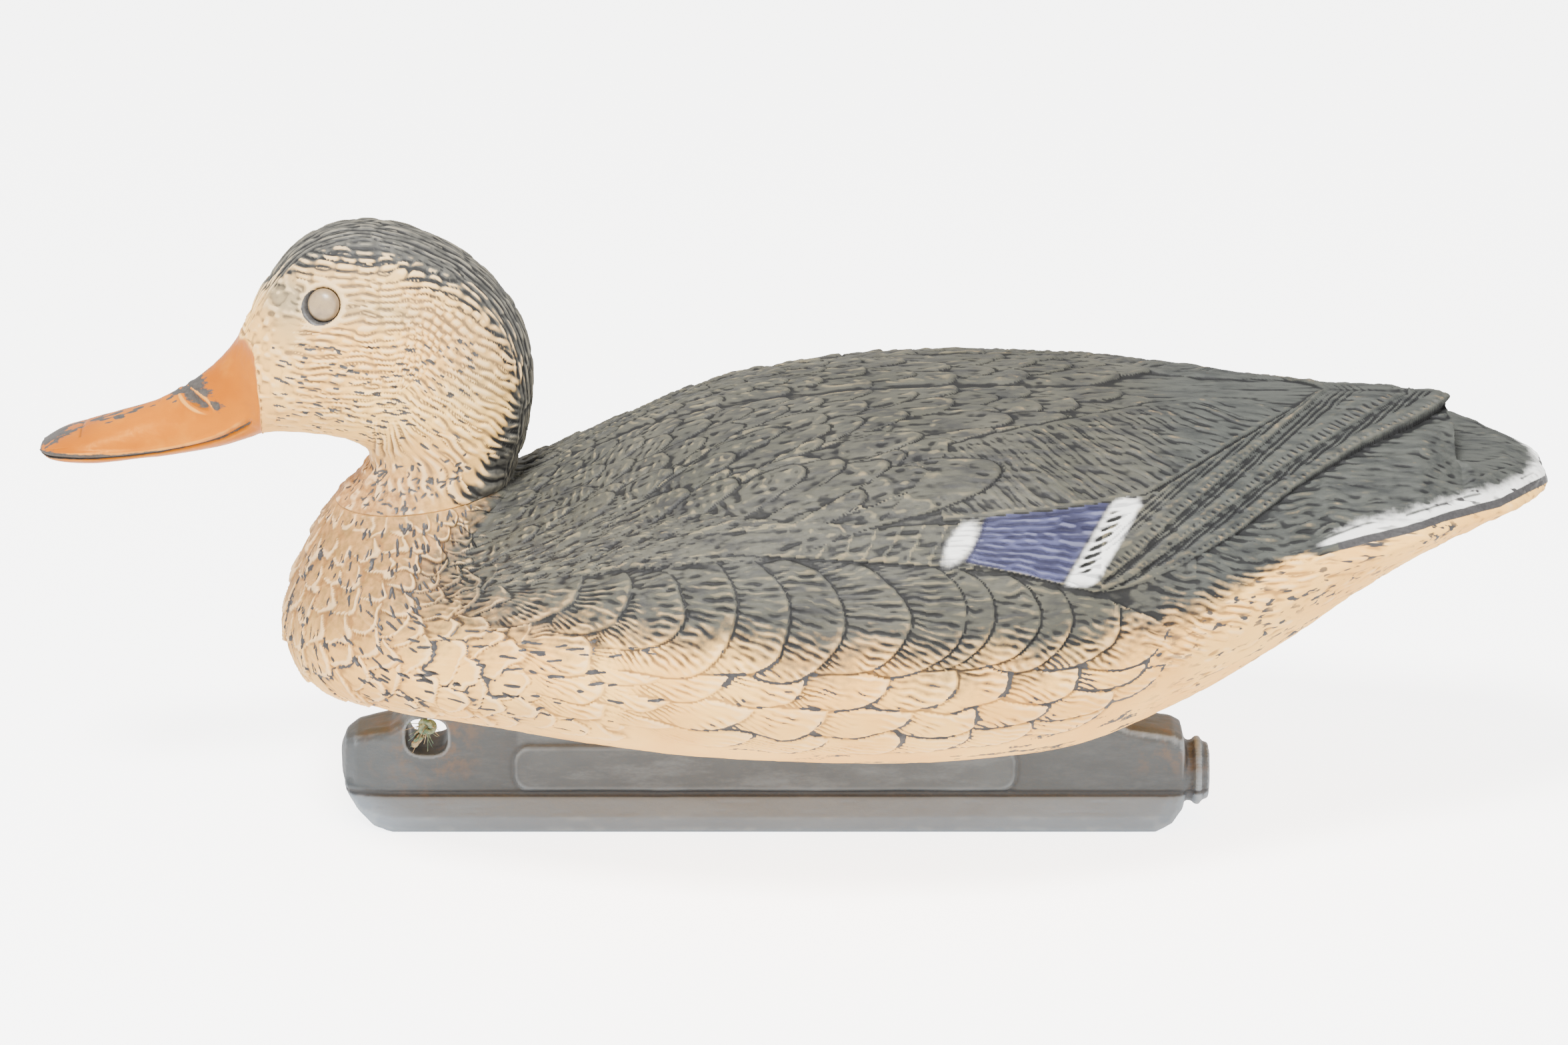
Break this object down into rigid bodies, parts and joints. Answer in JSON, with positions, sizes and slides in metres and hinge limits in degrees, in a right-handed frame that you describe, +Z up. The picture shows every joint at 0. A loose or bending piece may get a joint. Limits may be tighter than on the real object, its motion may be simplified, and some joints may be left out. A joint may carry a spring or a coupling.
{
  "type": "floating duck decoy",
  "caption": "Hollow moulded hen duck decoy that floats upright on an unpainted weighted keel; its head turns on a snap neck joint",
  "frame": {"origin": "middle of the keel's foot line: bottom centre of the object's box, without the twine", "axes": "+X from bill to tail, +Y to the duck's right side, +Z up"},
  "size_m": [0.406, 0.163, 0.1716],
  "materials": {
    "body_paint": "worn flat paint on dark plastic",
    "head_paint": "worn flat paint on dark plastic",
    "eye_plastic": "dulled gloss",
    "keel_plastic": "scuffed bare plastic",
    "ballast": "rough cast",
    "twine": "frayed twine"
  },
  "bodies": {
    "hull": {"body_shell": "body_paint", "keel_shell": "keel_plastic", "keel_ballast": "ballast", "keel_plug": "keel_plastic", "anchor_cord": "twine", "anchor_knot": "twine"},
    "head": {"head_shell": "head_paint", "eye_left": "eye_plastic", "eye_right": "eye_plastic"}
  },
  "joints": [
    {"name": "head_swivel", "type": "hinge", "parent": "hull", "child": "head", "pos_m": [-0.1004, 0, 0.0975], "axis": [-0.1219, 0, 0.9925], "continuous": true}
  ]
}
